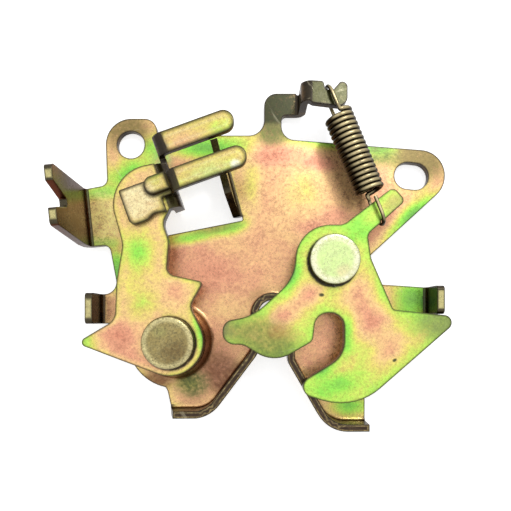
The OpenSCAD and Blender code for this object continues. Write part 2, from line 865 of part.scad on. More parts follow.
// Round wire along a path: rings carried from point to point without twist
function cross3(a, b) = cross(a, b);
function tangents(path) =
    let (last = len(path) - 1)
    [for (i = [0:last]) unit(path[min(i + 1, last)] - path[max(i - 1, 0)])];
function carried(way, start) = [
    for (
        i = 0, side = unit(start - (start * way[0]) * way[0]);
        i < len(way);
        i = i + 1,
        side = i < len(way) ? unit(side - (side * way[i]) * way[i]) : side
    )
        side
];
module wire(path, d, start) {
    sides = 8;
    way = tangents(path);
    side = carried(way, start);
    rings = [
        for (i = [0:len(path) - 1])
            for (k = [0:sides - 1])
                path[i] + (side[i] * cos(k * 360 / sides) + cross3(way[i], side[i]) * sin(k * 360 / sides)) * d / 2
    ];
    walls = [
        for (i = [0:len(path) - 2])
            for (k = [0:sides - 1])
                let (a = i * sides + k, b = i * sides + (k + 1) % sides)
                each [[a, a + sides, b], [b, a + sides, b + sides]]
    ];
    first = [for (k = [0:sides - 1]) k];
    last = [for (k = [sides - 1:-1:0]) (len(path) - 1) * sides + k];
    polyhedron(points = rings, faces = concat(walls, [first, last]));
}

// Tension spring, laid out along its own axis from the anchor notch to the hook's notch
hook_notch = hook_pivot + arm_notch;
spring_way = heading(anchor_notch, hook_notch);
spring_turn = atan2(spring_way[1], spring_way[0]);
spring_l = norm(hook_notch - anchor_notch);
coil_l = (hook_turns + 0.5) * (hook_wire + 0.03);
coil_start = (spring_l - coil_l) * 0.45;
coil_end = coil_start + coil_l;
turn_steps = 14;

// Hook end: out along the front, round behind what it holds, and back along the rear
function loop(from_x, tip_x) =
    let (dir = sign(tip_x - from_x), mid = tip_x - dir * (loop_r - hook_wire / 2 - 0.45))
    concat(
        [[from_x, 0, coil_r], [from_x + dir * 0.8, 0, coil_r - 0.1], [from_x + dir * 1.9, 0, loop_r]],
        [for (a = [0:18:180]) [mid + dir * loop_r * sin(a), 0, loop_r * cos(a)]],
        [[from_x + dir * 1.4, 0, -loop_r]]
    );

module spring_frame() {
    translate([anchor_notch[0], anchor_notch[1], spring_z])
        rotate(spring_turn)
            children();
}

module hook_spring() {
    steps = hook_turns * turn_steps + turn_steps / 2;
    upper = loop(coil_start, 0);
    body = [
        for (i = [1:steps])
            let (a = i * 360 / turn_steps)
            [coil_start + coil_l * i / steps, coil_r * sin(a), coil_r * cos(a)]
    ];
    color("#6e6045")
        spring_frame()
            wire(concat([for (i = [len(upper) - 1:-1:0]) upper[i]], body), hook_wire, [0, 1, 0]);
}

// Lower hook end of the tension spring, which travels with the hook's arm
module hook_spring_end() {
    flipped = [for (p = loop(coil_end + hook_wire / 2 + 0.1, spring_l)) [p[0], p[1], -p[2]]];
    color("#6e6045")
        spring_frame()
            wire(flipped, hook_wire, [0, 1, 0]);
}

// Torsion spring in the boss: fixed leg at the foot, moving leg up through the boss into the pawl
module pawl_spring() {
    r = pawl_coil_d / 2;
    swing = pawl_turns * 360 + leg_at - foot_leg_at + 360;
    steps = round(swing / 18);
    pitch = pawl_wire + 0.12;
    climb = pitch * swing / 360;
    radial = [cos(foot_leg_at), sin(foot_leg_at), 0];
    coil = [
        for (i = [0:steps])
            let (a = foot_leg_at + swing * i / steps)
            [r * cos(a), r * sin(a), foot_leg_z + climb * i / steps]
    ];
    top = coil[steps];
    outer = radial * (foot_leg_end - 0.3) + [0, 0, foot_leg_z];
    inner = radial * (r + 1.2) + [0, 0, foot_leg_z] - [-radial[1], radial[0], 0] * 0.1;
    color("#6e6045")
        translate([pawl_x, pawl_y, 0])
            wire(
                concat(
                    [outer, inner], coil,
                    [top + [-0.5, 0, 0.7], [r * cos(leg_at), r * sin(leg_at), top[2] + 1.6]],
                    [[r * cos(leg_at), r * sin(leg_at), level + pawl_t / 2]]
                ),
                pawl_wire, [0, 0, 1]
            );
}

base_plate();
latch_hook();
pawl_lever();
release_fork();
hook_pivot_rivet();
pawl_pivot_rivet();
hook_spacer();
hook_spring();
hook_spring_end();
pawl_spring();
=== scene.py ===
import bpy
import numpy as np
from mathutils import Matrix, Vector, geometry

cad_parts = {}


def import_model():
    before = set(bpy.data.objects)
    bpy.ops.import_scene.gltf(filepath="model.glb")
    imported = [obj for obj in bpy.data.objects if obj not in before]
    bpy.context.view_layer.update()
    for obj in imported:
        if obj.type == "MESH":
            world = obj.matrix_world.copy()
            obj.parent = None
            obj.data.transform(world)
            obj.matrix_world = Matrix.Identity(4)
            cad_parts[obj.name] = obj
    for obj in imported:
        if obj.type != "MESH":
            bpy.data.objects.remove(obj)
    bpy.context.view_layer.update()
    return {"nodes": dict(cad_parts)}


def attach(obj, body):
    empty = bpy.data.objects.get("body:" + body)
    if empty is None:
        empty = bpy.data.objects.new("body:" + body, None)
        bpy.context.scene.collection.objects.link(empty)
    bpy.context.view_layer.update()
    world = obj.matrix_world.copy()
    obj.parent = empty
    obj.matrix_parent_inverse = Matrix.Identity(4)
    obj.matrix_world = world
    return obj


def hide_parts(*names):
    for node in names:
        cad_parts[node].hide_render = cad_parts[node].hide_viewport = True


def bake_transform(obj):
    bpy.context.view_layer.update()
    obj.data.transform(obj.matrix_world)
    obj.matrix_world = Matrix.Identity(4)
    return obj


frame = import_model()
nodes = frame["nodes"]

MM = 0.001  # one millimetre in metres
PER_METRE = 1000  # millimetres in a metre
TINY = 1e-12  # keeps a division from meeting zero


class Value:
    """One output of a shader node. Sums, differences and products of it add Math nodes."""

    def __init__(self, finish, socket):
        self.finish = finish
        self.socket = socket

    def maths(self, operation, first, second):
        return self.finish.node("ShaderNodeMath", {"operation": operation}, {0: first, 1: second})

    def __add__(self, other):
        return self.maths("ADD", self, other)

    def __radd__(self, other):
        return self.maths("ADD", other, self)

    def __sub__(self, other):
        return self.maths("SUBTRACT", self, other)

    def __rsub__(self, other):
        return self.maths("SUBTRACT", other, self)

    def __mul__(self, other):
        return self.maths("MULTIPLY", self, other)

    def __rmul__(self, other):
        return self.maths("MULTIPLY", other, self)


class Finish:
    """A material or a world under construction: one method adds any node and links its sockets."""

    def __init__(self, name, kind="materials", shader="Principled BSDF"):
        self.made = getattr(bpy.data, kind).new(name)
        self.made.use_nodes = True
        self.tree = self.made.node_tree
        self.shader = self.tree.nodes[shader]

    def node(self, kind, settings=None, inputs=None, output=0):
        """A node of any kind: its settings first, a ramp's stops among them, then its sockets."""
        made = self.tree.nodes.new(kind)
        for key, value in (settings or {}).items():
            if key == "stops":
                ramp = made.color_ramp
                while len(ramp.elements) < len(value):
                    ramp.elements.new(0.5)
                for element, (place, colour) in zip(ramp.elements, value):
                    element.position = place
                    element.color = (*colour, 1)
            else:
                setattr(made, key, value)
        for key, value in (inputs or {}).items():
            self.put(made.inputs[key], value)
        return Value(self, made.outputs[output])

    def put(self, socket, value):
        """Links a Value to the socket, or sets the socket to a plain value."""
        if isinstance(value, Value):
            self.tree.links.new(value.socket, socket)
        else:
            socket.default_value = value

    def shade(self, **inputs):
        """Sets the shader's own sockets and hands back the material or world."""
        for key, value in inputs.items():
            self.put(self.shader.inputs[key.replace("_", " ")], value)
        return self.made

    def place(self, sizes=(1, 1, 1), turn=0.0):
        """Object coordinates, turned about Z by turn radians and then drawn out by sizes."""
        own = self.node("ShaderNodeTexCoord", output="Object")
        inputs = {"Vector": own, "Scale": sizes, "Rotation": (0, 0, turn)}
        return self.node("ShaderNodeMapping", {"vector_type": "TEXTURE"}, inputs)

    def z_of(self, coordinates):
        """The Z part of the Object or Normal coordinates."""
        source = self.node("ShaderNodeTexCoord", output=coordinates)
        return self.node("ShaderNodeSeparateXYZ", {}, {0: source}, output="Z")

    def clouds(self, size, detail=3.0, rough=0.55, at=None, bend=0.0):
        """Noise with blobs about size mm across, from 0 to 1."""
        inputs = {"Vector": at or self.place(), "Scale": PER_METRE / size, "Detail": detail,
                  "Roughness": rough, "Distortion": bend}
        return self.node("ShaderNodeTexNoise", {}, inputs)

    def patch(self, at, x, y, length, width, turn=0, soft=1.0):
        """An oval spot about (x, y) mm, length and width mm from its middle to its rim.

        It is 1 in its middle and 0 at its rim, and fades over the outer part of the way, soft.
        """
        inputs = {"Vector": at, "Location": (x * MM, y * MM, 0),
                  "Rotation": (0, 0, np.radians(turn)), "Scale": (length * MM, width * MM, 1)}
        local = self.node("ShaderNodeMapping", {"vector_type": "TEXTURE"}, inputs)
        flat = self.node("ShaderNodeVectorMath", {"operation": "MULTIPLY"}, {0: local, 1: (1, 1, 0)})
        away = self.node("ShaderNodeVectorMath", {"operation": "LENGTH"}, {0: flat}, output="Value")
        return self.between(away, 1.0 - soft, 1.0, 1.0, 0.0)

    def seen(self):
        """1 for rays from the camera, a mirror or through glass, 0 for rays that only light."""
        kinds = ("Is Camera Ray", "Is Glossy Ray", "Is Transmission Ray")
        camera, glossy, clear = (self.node("ShaderNodeLightPath", output=kind) for kind in kinds)
        return self.between(camera + glossy + clear, 0.0, 1.0)

    def size(self, value):
        """The value without its sign."""
        return self.node("ShaderNodeMath", {"operation": "ABSOLUTE"}, {0: value})

    def attribute(self, name):
        """A number that the mesh holds for each of its points."""
        return self.node("ShaderNodeAttribute", {"attribute_name": name}, output="Fac")

    def between(self, value, low, high, start=0.0, end=1.0):
        """value mapped from low..high to start..end, clamped, with soft ends."""
        inputs = {"Value": value, "From Min": low, "From Max": high, "To Min": start, "To Max": end}
        return self.node("ShaderNodeMapRange", {"interpolation_type": "SMOOTHSTEP"}, inputs)

    def ramp(self, value, stops):
        """The colour at value along the stops."""
        return self.node("ShaderNodeValToRGB", {"stops": stops}, {"Fac": value})

    def mix(self, amount, first, second):
        """first where amount is 0 and second where it is 1. 6, 7 and 2 are the colour sockets."""
        return self.node("ShaderNodeMix", {"data_type": "RGBA"}, {0: amount, 6: first, 7: second}, 2)


def linear(red, green, blue):
    """A screen colour from 0 to 255 as scene light, by the sRGB curve."""
    c = np.array([red, green, blue]) / 255.0
    return tuple(np.where(c > 0.04045, ((c + 0.055) / 1.055) ** 2.4, c / 12.92))


def shade4(*colour):
    """A screen colour as scene light, with an alpha of 1."""
    return (*linear(*colour), 1.0)


# Colours of the passivated zinc as its film thickens
FILM = [
    (0.00, linear(206, 124, 100)),
    (0.18, linear(230, 164, 128)),
    (0.34, linear(242, 200, 136)),
    (0.48, linear(228, 214, 110)),
    (0.60, linear(196, 228, 94)),
    (0.74, linear(150, 226, 80)),
    (0.88, linear(112, 180, 80)),
    (1.00, linear(104, 138, 78)),
]

# A khaki stain and a brown painted shade, each used in more than one place
KHAKI = (140, 130, 78)
SHADE_BROWN = (112, 72, 40)

# Edges and walls: painted shade along the edges and on the walls, a painted highlight with wear beside
# the edges, painted glint lines, and scratches
EDGE_SHADE = shade4(44, 34, 18)
WEAR_AND_SHEEN = shade4(244, 240, 204)
GLINT_LINE = shade4(206, 182, 122)
SCRATCH = shade4(246, 236, 200)
WALL_SHADE = shade4(32, 21, 12)
WALL_SHADE_PALE = shade4(104, 80, 46)

# Blobs in the plating, in mm across
CLOUD = 22
MOTTLE = 5.0
SPECK = 1.2
CRYSTAL = 0.5

# Scratches: how far the noise is drawn out along them, their two ways in radians, and the noise
# at which they start and are full
SCRATCH_LENGTH = 20
SCRATCH_TURN = 0.6
SCRATCH_FROM = (0.63, 0.73)
CROSS_TURN = 0.25
CROSS_FROM = (0.65, 0.75)
SCRATCH_AMOUNT = 0.16

SPECK_FILM = 0.16  # how much the specks thicken the film
SPOT_SOFT = 0.8  # part of a stain or a painted spot over which it fades
CRISP = 0.2  # the same for spots with a clear rim
STEEP = (0.45, 0.93)  # size of the normal's Z up to which a face is a wall, and from which level
SHEAR_RISE = 0.3  # mm of height over which the sheared faces set in
GLINT_BAND = (0.15, 0.35, 0.4, 0.7)  # mm from the edge: the painted glint line starts, is full, fades, ends
SKIN_DEPTH = 0.00004  # height of the rough skin in metres


def plating(name, film=0.35, wander=0.30, mottle=0.26, rim=0.12, rim_width=3.0, patches=(),
            stains_and_painted_light=(), sheared=None, glint_spots=(), walls=(), line=0.6, wear_and_sheen=0.0, tone=1.0, grit=1.0,
            rough=0.30, roll=0.45):
    """Yellow passivated zinc, a thin film whose colour runs from salmon through yellow to green.

    film is its thickness along FILM. It wanders in broad clouds, is mottled by fine crystals and
    thickens by rim within rim_width of a sharp edge. Every spot starts with x, y, half length,
    half width and turn, in mm and degrees, and goes on as follows.

    patches: the amount by which the film is thicker there.
    stains_and_painted_light: the amount and the colour of a stain, a painted shade or a painted
    highlight, and its softness where that isn't SPOT_SOFT.
    sheared: first a height and the colour of the faces above it, then spots, each with a colour.
    glint_spots: nothing more. There a painted highlight, a pale glint line, runs along the edges of the
    sheared faces.
    walls: the colour of the painted shade on the upright faces there, and the spot's softness where that
    isn't 1.

    Other upright faces get a painted shade, dark brown with paler mottles. A painted shade of width line
    darkens the sharp edges, with a band of painted highlight and wear of strength wear_and_sheen beside
    it. tone is the brightness, grit the strength of the grain, rough the roughness and roll the radius
    of the edges.
    """
    f = Finish(name)
    at = f.place()
    broad = f.clouds(CLOUD, 2.0, 0.5, at, 0.6) - 0.5
    middle = f.clouds(MOTTLE, 4.0, 0.6, at, 0.5) - 0.5
    fine = f.clouds(SPECK, 3.0, 0.75, at) - 0.5
    grain = f.clouds(CRYSTAL, 2.0, 0.8, at) - 0.5
    edge = f.attribute("edge")  # mm to the nearest sharp edge
    upright = f.between(f.size(f.z_of("Normal")), *STEEP, 1.0, 0.0)

    # Film
    near = f.between(edge, 0.0, rim_width, 1.0, 0.0)
    thick = film + broad * wander + middle * mottle + fine * SPECK_FILM + near * rim
    for *oval, amount in patches:
        thick = thick + f.patch(at, *oval) * amount
    colour = f.ramp(thick, FILM)

    # Stains, painted shade and painted highlights
    for x, y, length, width, turn, amount, blotch, *soft in stains_and_painted_light:
        oval = f.patch(at, x, y, length, width, turn, *(soft or [SPOT_SOFT]))
        uneven = oval * amount * (0.86 + middle * 0.8 + fine * 1.4)
        colour = f.mix(f.between(uneven, 0.0, 1.0), colour, shade4(*blotch))

    # Sheared faces
    if sheared:
        level, bare, *spots = sheared
        shorn = shade4(*bare)
        for *oval, shadow in spots:
            shorn = f.mix(f.patch(at, *oval, CRISP), shorn, shade4(*shadow))
        cut = f.between(f.z_of("Object"), level * MM, (level + SHEAR_RISE) * MM)
        colour = f.mix(f.between(cut * (0.95 + fine * 0.7), 0.0, 1.0), colour, shorn)

    # Edges: painted shade, a painted highlight with wear, and painted glint lines
    # painted highlight with wear: a pale band just inside the edge's painted shade
    if wear_and_sheen:
        inner = f.between(edge, line * 0.8, line + 0.3)
        outer = f.between(edge, line + 0.4, line + 1.1, 1.0, 0.0)
        colour = f.mix(inner * outer * wear_and_sheen * (1.0 + fine * 1.5), colour, WEAR_AND_SHEEN)
    # painted shade: the sharp edges darken over the width line
    colour = f.mix(f.between(edge, 0.0, line, 0.94, 0.0), colour, EDGE_SHADE)
    # painted highlight: a pale glint line along the edges of the sheared faces within each spot
    for oval in glint_spots:
        start, full, fade, end = GLINT_BAND
        band = f.between(edge, start, full) * f.between(edge, fade, end, 1.0, 0.0)
        glint = band * f.patch(at, *oval, CRISP)
        colour = f.mix(glint * cut * (0.34 + fine * 1.6), colour, GLINT_LINE)

    # Grain and scratches
    light = tone * (1.0 + grain * (1.15 * grit) + fine * (0.7 * grit) + middle * (0.24 * grit))
    colour = f.node("ShaderNodeVectorMath", {"operation": "SCALE"}, {0: colour, "Scale": light})
    lines = f.clouds(1.5, 4.0, 0.7, f.place((1, SCRATCH_LENGTH, 1), SCRATCH_TURN))
    cross = f.clouds(1.3, 4.0, 0.7, f.place((SCRATCH_LENGTH, 1, 1), CROSS_TURN))
    scratch = f.between(lines, *SCRATCH_FROM) + f.between(cross, *CROSS_FROM)
    colour = f.mix(f.between(scratch, 0, 1) * SCRATCH_AMOUNT, colour, SCRATCH)

    # Walls: painted shade on the upright faces
    dark = f.mix(f.between(middle + fine * 0.8, -0.1, 0.3) * 0.6, WALL_SHADE, WALL_SHADE_PALE)
    for x, y, length, width, turn, shadow, *soft in walls:
        dark = f.mix(f.patch(at, x, y, length, width, turn, *soft), dark, shade4(*shadow))
    # painted shade: upright faces take the dark colour
    colour = f.mix(upright * 0.98, colour, dark)

    # Skin
    rolled = f.node("ShaderNodeBevel", {"samples": 6}, {"Radius": roll * MM})
    height = grain * 0.7 + fine * 0.6 + lines * 0.3 + cross * 0.3
    rough_skin = {"Strength": 0.3, "Distance": SKIN_DEPTH, "Height": height, "Normal": rolled}
    return f.shade(
        Base_Color=colour, Metallic=0.5 + upright * 0.5, Roughness=rough + fine * 0.35 + middle * 0.2,
        Normal=f.node("ShaderNodeBump", {}, rough_skin),
    )


def wire_finish():
    """Dark bronzed spring wire, with a painted highlight along the top of each turn."""
    f = Finish("spring wire")
    blotch = f.clouds(2.2, 3.0, 0.6)
    fine = f.clouds(0.5, 2.0, 0.7)
    # painted highlight: the wire is pale where its normal points up
    top = f.between(f.z_of("Normal"), 0.55, 1.0)
    top_highlight = top * f.between(blotch + fine * 0.3, 0.4, 0.85, 0.55, 1.0)
    colour = f.mix(top_highlight, shade4(48, 38, 22), shade4(200, 184, 140))
    return f.shade(Base_Color=colour, Metallic=0.9, Roughness=0.26 + blotch * 0.15)


# Meshes
SHARP_ANGLE = 32  # degrees between two triangles from which their shared side is sharp
AT_ONCE = 400  # spots compared in one go, to spare memory
LEVEL = 0.99999  # least size of a level triangle's normal along Z
ROW = 0.866  # height of an even triangle whose sides are 1


def merged(node):
    """The node's loose triangles with their shared corners joined: points in mm and triangles."""
    mesh = nodes[node].data
    points = np.zeros(len(mesh.vertices) * 3)
    mesh.vertices.foreach_get("co", points)
    mesh.calc_loop_triangles()
    faces = np.zeros(len(mesh.loop_triangles) * 3, int)
    mesh.loop_triangles.foreach_get("vertices", faces)
    points = points.reshape(-1, 3) * PER_METRE
    _, first, back = np.unique(np.round(points, 3), axis=0, return_index=True, return_inverse=True)
    faces = back.reshape(-1)[faces].reshape(-1, 3)
    a, b, c = faces.T
    return points[first], faces[(a != b) & (b != c) & (a != c)]


def facing(points, faces):
    """Unit normal of each triangle, the cross product of two sides, and half its length, the area."""
    a, b, c = (points[faces[:, i]] for i in range(3))
    normal = np.cross(b - a, c - a)
    size = np.linalg.norm(normal, axis=1, keepdims=True)
    return normal / np.maximum(size, TINY), size[:, 0] / 2


def sides(faces):
    """Every side of every triangle, sorted within the side, with its triangle."""
    pairs = np.concatenate([faces[:, [0, 1]], faces[:, [1, 2]], faces[:, [2, 0]]])
    return np.sort(pairs, axis=1), np.tile(np.arange(len(faces)), 3)


def outline(faces):
    """Sides that belong to one triangle only."""
    pairs, _ = sides(faces)
    unique, count = np.unique(pairs, axis=0, return_counts=True)
    return unique[count == 1]


def far_from(spots, starts, ends):
    """Distance from each spot to the nearest of the straight pieces from starts to ends.

    The nearest point of a piece is start + t * (end - start), with t the spot's share of the way
    along it, kept from 0 to 1.
    """
    nearest = np.empty(len(spots))
    way = ends - starts
    length = np.maximum((way ** 2).sum(1), TINY)
    for i in range(0, len(spots), AT_ONCE):
        gap = spots[i:i + AT_ONCE, None, :] - starts[None]
        along = np.clip((gap * way[None]).sum(2) / length, 0, 1)
        gap = gap - along[..., None] * way[None]
        nearest[i:i + AT_ONCE] = np.sqrt((gap ** 2).sum(2).min(1))
    return nearest


def within(spots, starts, ends):
    """True where a spot lies inside the closed outline.

    A ray from there to the right crosses the outline an odd number of times.
    """
    inside = np.zeros(len(spots), bool)
    for i in range(0, len(spots), AT_ONCE):
        x, y = spots[i:i + AT_ONCE, 0, None], spots[i:i + AT_ONCE, 1, None]
        crosses = (starts[:, 1] > y) != (ends[:, 1] > y)
        rise = np.where(ends[:, 1] == starts[:, 1], 1e-9, ends[:, 1] - starts[:, 1])
        at = starts[:, 0] + (y - starts[:, 1]) * (ends[:, 0] - starts[:, 0]) / rise
        inside[i:i + AT_ONCE] = ((crosses & (x < at)).sum(1) % 2) == 1
    return inside


def inner_spots(starts, ends, low, high, spacing):
    """Points of an even triangle grid that lie well inside the outline."""
    across = np.arange(low[0], high[0], spacing)
    up = np.arange(low[1], high[1], spacing * ROW)
    grid = np.stack(np.meshgrid(across, up), -1)
    grid[1::2, :, 0] += spacing / 2
    grid = grid.reshape(-1, 2)
    grid = grid[within(grid, starts, ends)]
    return grid[far_from(grid, starts, ends) > spacing * 0.45]


def cut_anew(flat, rim, spacing):
    """A flat outline filled with even triangles.

    Returns the points, the triangles, and each point's place in flat, or -1 for a new one.
    """
    starts, ends = flat[rim[:, 0]], flat[rim[:, 1]]
    every = np.concatenate([flat, inner_spots(starts, ends, flat.min(0), flat.max(0), spacing)])
    result = geometry.delaunay_2d_cdt(
        [Vector(p) for p in every], [tuple(int(i) for i in e) for e in rim], [], 0, 1e-5
    )
    spots = np.array([tuple(p) for p in result[0]])
    cut = np.array(result[2])
    source = np.array([s[0] if s else -1 for s in result[3]])
    return spots, cut[within(spots[cut].mean(1), starts, ends)], np.where(source < len(flat), source, -1)


def even_flats(points, faces, spacing, smallest=8.0):
    """Level faces cut anew into triangles about spacing mm wide, for a finish to follow the outline.

    Levels with less than smallest square mm stay as they are.
    """
    normal, area = facing(points, faces)
    level = np.abs(normal[:, 2]) > LEVEL
    height = np.round(points[faces[:, 0], 2], 3)
    keep = np.ones(len(faces), bool)
    extra_points, extra_faces = [], []
    count = len(points)
    for side in (1, -1):
        turned = level & (normal[:, 2] * side > 0)
        for z in np.unique(height[turned]):
            chosen = turned & (height == z)
            if area[chosen].sum() < smallest:
                continue
            used, rim = np.unique(outline(faces[chosen]), return_inverse=True)
            spots, cut, source = cut_anew(points[used][:, :2], rim.reshape(-1, 2), spacing)
            a, b, c = (spots[cut[:, i]] for i in range(3))
            # Twice each triangle's area, below 0 where it turns clockwise
            turn = (b[:, 0] - a[:, 0]) * (c[:, 1] - a[:, 1]) - (b[:, 1] - a[:, 1]) * (c[:, 0] - a[:, 0])
            wrong = turn * side < 0
            cut[wrong] = cut[wrong][:, ::-1]
            new = source < 0
            index = np.where(new, -1, used[source])
            index[new] = count + np.arange(new.sum())
            count += new.sum()
            extra_points.append(np.column_stack([spots[new], np.full(new.sum(), z)]))
            extra_faces.append(index[cut])
            keep &= ~chosen
    return np.concatenate([points, *extra_points]), np.concatenate([faces[keep], *extra_faces])


def sharp_sides(points, faces):
    """Sides at which two triangles meet at more than the sharp angle."""
    normal, _ = facing(points, faces)
    pairs, owner = sides(faces)
    order = np.lexsort((pairs[:, 1], pairs[:, 0]))
    pairs, owner = pairs[order], owner[order]
    same = (pairs[1:] == pairs[:-1]).all(1)
    bend = (normal[owner[1:]] * normal[owner[:-1]]).sum(1)
    return pairs[1:][same & (bend < np.cos(np.radians(SHARP_ANGLE)))]


def piece(name, points, faces, finish, body, slot, soft=SHARP_ANGLE, **extra):
    """A finished piece from points in mm: smooth within soft degrees, riding on a body if given.

    extra gives numbers for each point, which the mesh keeps under their names.
    """
    mesh = bpy.data.meshes.new(name)
    mesh.from_pydata((points * MM).tolist(), [], faces.tolist())
    mesh.update()
    for key, values in extra.items():
        kept = mesh.attributes.new(key, "FLOAT", "POINT")
        kept.data.foreach_set("value", np.asarray(values, np.float32))
    mesh.shade_smooth()
    mesh.set_sharp_from_angle(angle=np.radians(soft))
    mesh.materials.append(finish)
    made = bpy.data.objects.new(name, mesh)
    bpy.context.scene.collection.objects.link(made)
    if body:
        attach(made, body)
    return made


def dressed(node, name, finish, body, slot, spacing):
    """A sheet-metal node cut finely, with each point's distance to the nearest sharp edge in mm."""
    points, faces = merged(node)
    points, faces = even_flats(points, faces, spacing)
    rim = sharp_sides(points, faces)
    edge = far_from(points, points[rim[:, 0]], points[rim[:, 1]])
    made = piece(name, points, faces, finish, body, slot, edge=edge)
    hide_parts(node)


def unit(v):
    """v divided by its own length."""
    return v / np.maximum(np.linalg.norm(v, axis=-1, keepdims=True), TINY)


WIRE_STEP = 0.22  # mm between the rings of a wire
AROUND = 14  # points in a ring
EASE = 9  # rings over which a corner of the path is rounded


def tube(path, aside, radius):
    """A round wire along a path.

    Each ring is centre + radius * (cos a * side + sin a * up), where side is what is left of
    aside when the path's own direction is taken out of it, and up is square to both. radius is
    one number, or one for each point of the path.
    """
    gap = np.linalg.norm(np.diff(path, axis=0), axis=1)
    along = np.concatenate([[0], np.cumsum(gap)])
    spots = np.linspace(0, along[-1], int(along[-1] / WIRE_STEP))
    bend = np.hanning(EASE) / np.hanning(EASE).sum()
    rows = []
    for source in (path, aside, np.broadcast_to(radius, (1, len(path))).T):
        columns = [np.interp(spots, along, column) for column in source.T]
        padded = [np.pad(column, EASE // 2, mode="edge") for column in columns]
        rows.append(np.column_stack([np.convolve(column, bend, "valid") for column in padded]))
    centre, side, radius = rows
    way = unit(np.gradient(centre, axis=0))
    side = unit(side - (side * way).sum(1, keepdims=True) * way)
    up = np.cross(way, side)
    turn = np.linspace(0, 2 * np.pi, AROUND, endpoint=False)[None, :, None]
    ring = np.cos(turn) * side[:, None] + np.sin(turn) * up[:, None]
    rings = centre[:, None] + radius[:, None] * ring
    count = len(centre)
    i, k = np.meshgrid(np.arange(count - 1), np.arange(AROUND), indexing="ij")
    a, b = i * AROUND + k, i * AROUND + (k + 1) % AROUND
    walls = np.concatenate([
        np.stack([a, b, b + AROUND], -1).reshape(-1, 3),
        np.stack([a, b + AROUND, a + AROUND], -1).reshape(-1, 3),
    ])
    first, last = count * AROUND, count * AROUND + 1
    top = (count - 1) * AROUND
    k = np.arange(AROUND)
    low = np.column_stack([np.full(AROUND, first), (k + 1) % AROUND, k])
    high = np.column_stack([np.full(AROUND, last), top + k, top + (k + 1) % AROUND])
    points = np.concatenate([rings.reshape(-1, 3), centre[:1], centre[-1:]])
    return points, np.concatenate([walls, low, high])


WIRE_SOFT = 80  # degrees within which a wire is smooth
COIL_STEPS = 32  # points of the path in a turn of the tension spring
LOOP_STEP = 9  # degrees between the points of a loop

# Tension spring, along its own axis from the anchor's notch to the hook's, in mm
ANCHOR_NOTCH = np.array([62.2, 12.9, 10.8])
HOOK_NOTCH = np.array([78.6, -26.2, 10.8])
WIRE = 1.5
LOOP_WIRE = 1.1
COIL_R = 3.75
LOOP_R = 3.4
LOOP_PAST = 0.45  # how far the loop's wire passes the notch
LOOP_LEAN = -0.25  # the lower loop's, to clear its hole
TURNS = 16.5
PITCH = WIRE + 0.03
ABOVE_COIL = 0.45  # share of the free length that lies above the coil


def spring_loop(root, tip, top, lean):
    """Hook end of a spring along X, from root to tip, which starts on the side top, 1 or -1.

    It goes out along that side, round the half circle (middle + r sin a, lean, r cos a), and back
    along the other. It leans to one side by lean mm.
    """
    way = np.sign(tip - root)
    middle = tip - way * (LOOP_R - WIRE / 2 - LOOP_PAST)
    a = np.radians(np.arange(0, 181, LOOP_STEP))
    arc = np.column_stack([
        middle + way * LOOP_R * np.sin(a), np.full(len(a), lean), top * LOOP_R * np.cos(a)
    ])
    # The wire leaves the coil's last turn, swings over to the loop's plane, and ends beside it
    lead = [[root + way * 0.8, 0, top * (COIL_R - 0.1)], [root + way * 1.9, lean, top * LOOP_R]]
    path = np.concatenate([lead, arc, [[root + way * 1.4, lean, -top * LOOP_R]]])
    aside = np.tile([0.0, 1.0, 0.0], (len(path), 1))
    aside[0] = [0, 0.5, top]
    return path, aside, np.full(len(path), LOOP_WIRE / 2)


def tension_spring(finish):
    """Close coil (x0 + pitch * a / 360, r sin a, r cos a) for 16 and a half turns.

    A thinner loop follows at each end. The lower one leans so that it clears its hole as the hook
    turns.
    """
    reach = np.linalg.norm(HOOK_NOTCH - ANCHOR_NOTCH)
    coil = TURNS * PITCH
    start = (reach - coil) * ABOVE_COIL
    a = np.linspace(0, TURNS * 2 * np.pi, int(TURNS * COIL_STEPS))
    along = start + coil * a / a[-1]
    turns = np.column_stack([along, COIL_R * np.sin(a), COIL_R * np.cos(a)])
    outward = np.column_stack([0 * a, np.sin(a), np.cos(a)])
    upper, upper_side, upper_r = spring_loop(start, 0, 1, 0)
    lower, lower_side, lower_r = spring_loop(start + coil + WIRE / 2 + 0.1, reach, -1, LOOP_LEAN)
    path = np.concatenate([upper[::-1], turns, lower])
    aside = np.concatenate([upper_side[::-1], outward, lower_side])
    radius = np.concatenate([upper_r, np.full(len(turns), WIRE / 2), lower_r])
    points, faces = tube(path, aside, radius)
    way = unit(HOOK_NOTCH - ANCHOR_NOTCH)
    left = np.array([-way[1], way[0], 0])
    points = ANCHOR_NOTCH + points @ np.array([way, left, [0, 0, 1]])
    made = piece("tension_spring", points, faces, finish, None, "spring_steel", WIRE_SOFT)
    first, last = ANCHOR_NOTCH + way * start, ANCHOR_NOTCH + way * (start + coil)
    tuple(first * MM)
    tuple(last * MM)
    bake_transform(made)
    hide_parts("hook_spring", "hook_spring_end")


# Return spring, wound about the lever's pivot, in mm and degrees
LEVER_PIVOT = np.array([14.2, -63.3, 0.0])
RETURN_R = 7.0
RETURN_WIRE = 1.0
RETURN_PITCH = 1.12
FOOT_Z = 0.8
FOOT_TURN = 160
FOOT_END = 14.1
LEG_TURN = 90
LEG_TOP = 10.8
RETURN_TURNS = 3 + (360 + LEG_TURN - FOOT_TURN) / 360
RETURN_STEPS = 360  # points of the path in the coil


